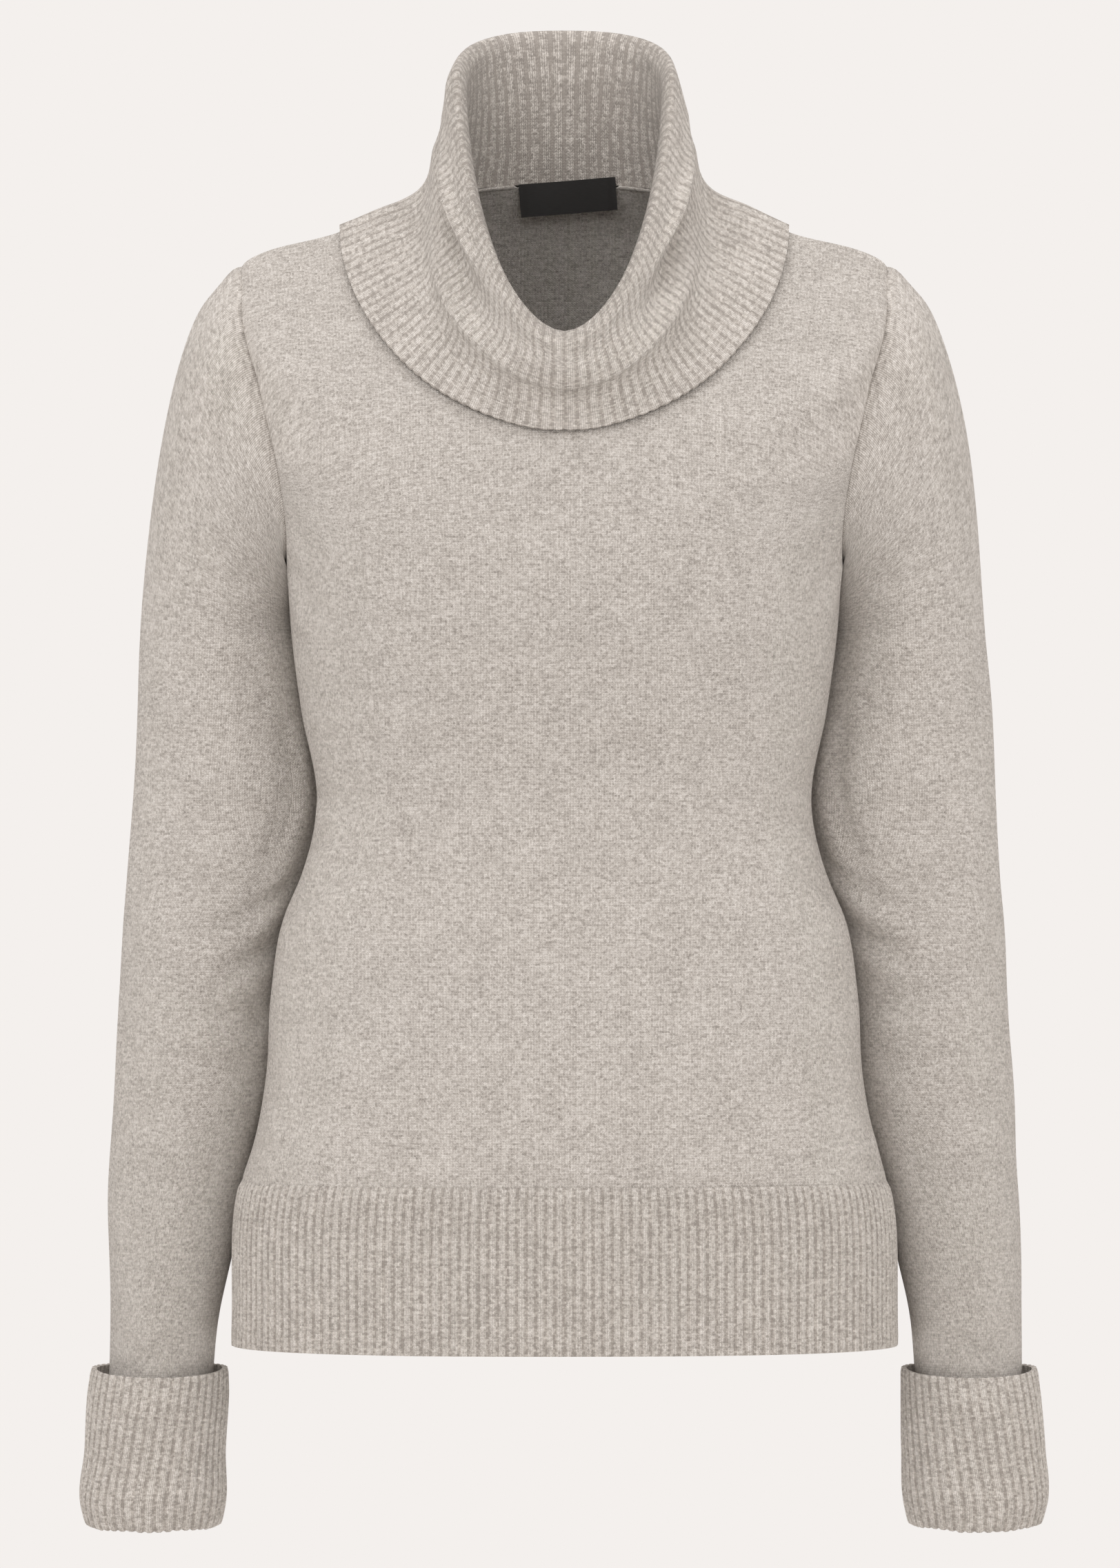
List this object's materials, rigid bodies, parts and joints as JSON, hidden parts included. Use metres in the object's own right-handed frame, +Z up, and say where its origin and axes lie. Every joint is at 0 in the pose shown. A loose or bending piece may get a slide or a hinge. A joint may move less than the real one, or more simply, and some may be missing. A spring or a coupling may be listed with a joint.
{
  "type": "cowl neck sweater",
  "caption": "Fine-knit sweater, filled out with no wearer: folded ribbed cowl, long set-in sleeves with turned-back ribbed cuffs and a ribbed hem, all open.",
  "frame": {"origin": "middle of the neck, at the height of the shoulder seams' neck ends, where the wearer's neck holds the sweater", "axes": "+Z up, the front faces -Y, +X is the wearer's left"},
  "size_m": [0.5604, 0.2453, 0.8743],
  "materials": {
    "plain_knit": "oatmeal marl stocking stitch, soft and matt",
    "rib_knit": "oatmeal marl rib, soft and matt",
    "label_satin": "black woven satin"
  },
  "bodies": {
    "root": {"front": "plain_knit", "back": "plain_knit", "sleeve_left": "plain_knit", "sleeve_right": "plain_knit", "hem_rib_front": "rib_knit", "hem_rib_back": "rib_knit", "cuff_left": "rib_knit", "cuff_right": "rib_knit", "cowl": "rib_knit", "label": "label_satin"}
  },
  "joints": []
}
